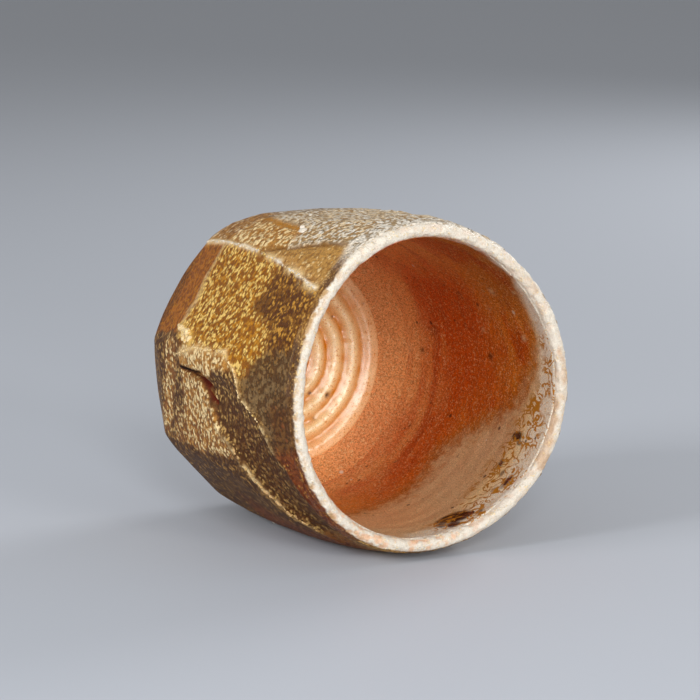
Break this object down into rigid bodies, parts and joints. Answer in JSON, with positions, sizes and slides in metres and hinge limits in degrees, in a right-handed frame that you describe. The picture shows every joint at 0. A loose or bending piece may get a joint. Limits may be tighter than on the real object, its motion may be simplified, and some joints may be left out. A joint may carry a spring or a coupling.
{
  "type": "yunomi tea cup",
  "caption": "Handleless stoneware tea cup, a tall barrel with knife-cut facets, a rolled white lip, an ash glaze and a ringed floor inside.",
  "frame": {"origin": "centre of the foot ring's resting plane, under the middle of the cup", "axes": "+Z is the cup's axis, up from the foot to the mouth; +X points to the side with the torn knife sweep; +Y completes the right-handed frame"},
  "size_m": [0.0831, 0.0816, 0.086],
  "materials": {
    "clay": "bare, toasted by the flame",
    "ash_glaze": "crusty natural ash, ochre mottled with cream and brown",
    "inner_glaze": "satin terracotta with a fine sparkle",
    "floor_pool": "glossy pale gold glass",
    "lip_glaze": "thick glossy cream white",
    "ridge_runs": "glossy cream beads of melted ash",
    "feldspar": "half melted white stone",
    "iron": "dark melted iron"
  },
  "bodies": {
    "root": {"clay_body": "clay", "foot_ring": "clay", "ash_glaze": "ash_glaze", "inner_glaze": "inner_glaze", "floor_pool": "floor_pool", "lip_glaze": "lip_glaze", "ridge_runs": "ridge_runs", "feldspar_stones": "feldspar", "iron_blisters": "iron"}
  },
  "joints": []
}
